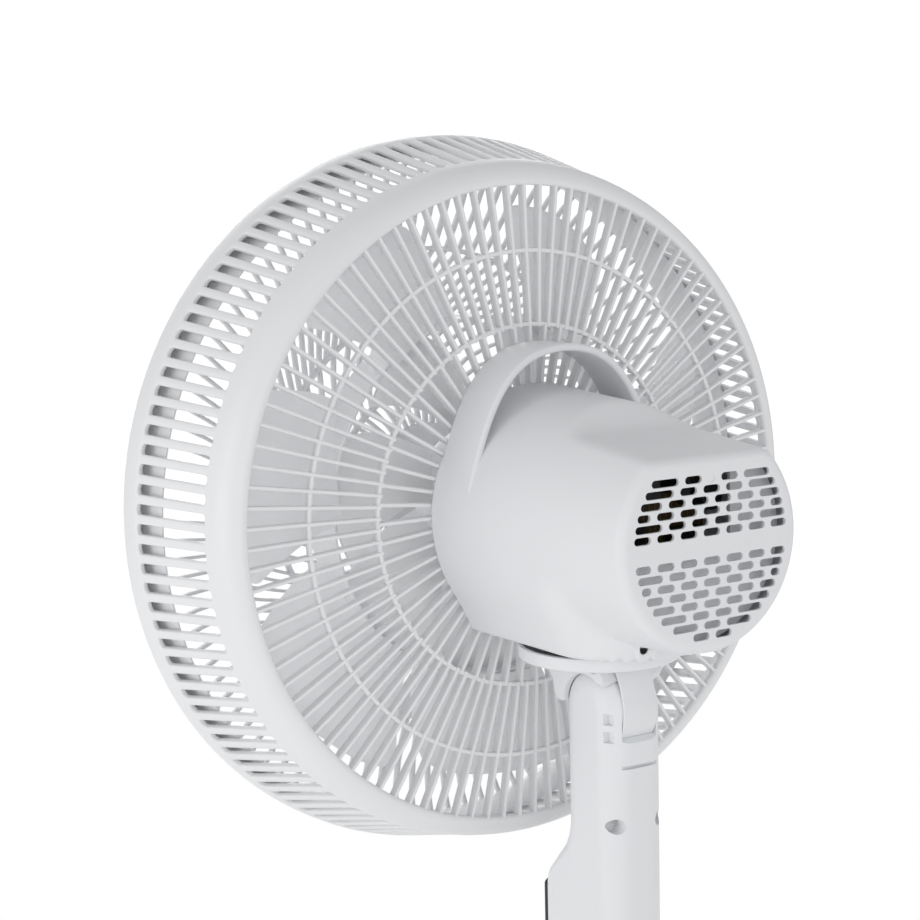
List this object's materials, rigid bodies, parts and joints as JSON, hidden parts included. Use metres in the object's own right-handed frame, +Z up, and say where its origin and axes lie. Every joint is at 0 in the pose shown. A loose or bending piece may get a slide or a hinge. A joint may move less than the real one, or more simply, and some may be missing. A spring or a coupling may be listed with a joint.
{
  "type": "pedestal fan",
  "caption": "Free-standing pedestal fan with a round weighted base, telescopic pole, control neck, tilting and oscillating guarded head and carrying handle.",
  "frame": {"origin": "on the floor, under the axis of the pole, at the centre of the base", "axes": "+Z up along the pole, the fan blows towards -Y, +X across"},
  "size_m": [0.4348, 0.4, 1.2674],
  "materials": {
    "shell_white": "satin moulded ABS, white",
    "guard_white": "satin moulded PP, white",
    "blade_white": "satin moulded AS, pale",
    "panel_black": "gloss black",
    "pole_paint": "white powder coat",
    "steel": "zinc plated",
    "motor_shell": "die cast",
    "core_steel": "laminated",
    "copper": "enamelled copper wire",
    "board_green": "solder mask",
    "dark_parts": "dark components",
    "nylon": "natural nylon",
    "rubber": "soft"
  },
  "bodies": {
    "base": {"base_cover": "shell_white", "base_weight": "core_steel", "base_socket": "nylon", "base_feet": "rubber", "base_screws": "steel", "outer_pole": "pole_paint", "pole_liner": "nylon", "height_collar": "shell_white"},
    "knob": {"height_knob": "shell_white", "knob_screw": "steel"},
    "column": {"inner_pole": "pole_paint", "pole_plug": "nylon", "neck_front_shell": "shell_white", "neck_rear_shell": "shell_white", "neck_screws": "steel", "panel_lens": "panel_black", "control_board": "board_green", "pole_clamp_screws": "steel", "tilt_bolt": "steel", "tilt_nut": "steel"},
    "arm": {"tilt_arm": "shell_white", "tilt_strip": "shell_white", "tilt_washers": "steel", "swing_post": "steel", "link_pin": "steel"},
    "link": {"swing_link": "steel"},
    "head": {"head_bracket": "motor_shell", "swing_bush": "nylon", "swing_motor": "steel", "motor_front_bell": "motor_shell", "motor_rear_bell": "motor_shell", "cover_screws": "steel", "stator_core": "core_steel", "stator_windings": "copper", "motor_bearings": "steel", "motor_board": "board_green", "board_posts": "nylon", "board_parts": "dark_parts", "motor_cover": "shell_white", "rear_guard": "guard_white", "guard_nut": "shell_white", "front_guard": "guard_white", "guard_badge": "shell_white", "guard_screw": "steel"},
    "crank": {"swing_crank": "nylon", "swing_axle": "steel"},
    "rotor": {"motor_rotor": "core_steel", "motor_shaft": "steel", "fan_blade": "blade_white", "drive_pin": "steel", "blade_nut": "shell_white"}
  },
  "joints": [
    {"name": "height_slide", "type": "slide", "parent": "base", "child": "column", "axis": [0, 0, 1], "range_m": [-0.12, 0.16]},
    {"name": "knob_turn", "type": "hinge", "parent": "base", "child": "knob", "pos_m": [0, 0.04, 0.53], "axis": [0, 1, 0], "range_deg": [0, 540]},
    {"name": "tilt", "type": "hinge", "parent": "column", "child": "arm", "pos_m": [0, 0, 0.946], "axis": [-1, 0, 0], "range_deg": [-10, 25]},
    {"name": "swing", "type": "hinge", "parent": "arm", "child": "head", "pos_m": [0, -0.012, 0.99], "axis": [0, 0, 1], "range_deg": [-40, 40]},
    {"name": "link_turn", "type": "hinge", "parent": "arm", "child": "link", "pos_m": [0.012, -0.012, 0.977], "axis": [0, 0, 1], "range_deg": [-35, 35]},
    {"name": "crank_turn", "type": "hinge", "parent": "head", "child": "crank", "pos_m": [0, 0.015, 0.982], "axis": [0, 0, 1], "continuous": true},
    {"name": "blade_spin", "type": "hinge", "parent": "head", "child": "rotor", "pos_m": [0, -0.076, 1.05], "axis": [0, 1, 0], "continuous": true}
  ],
  "couplings": [
    {"joint": "link_turn", "follows": "swing", "ratio": 0.866}
  ]
}
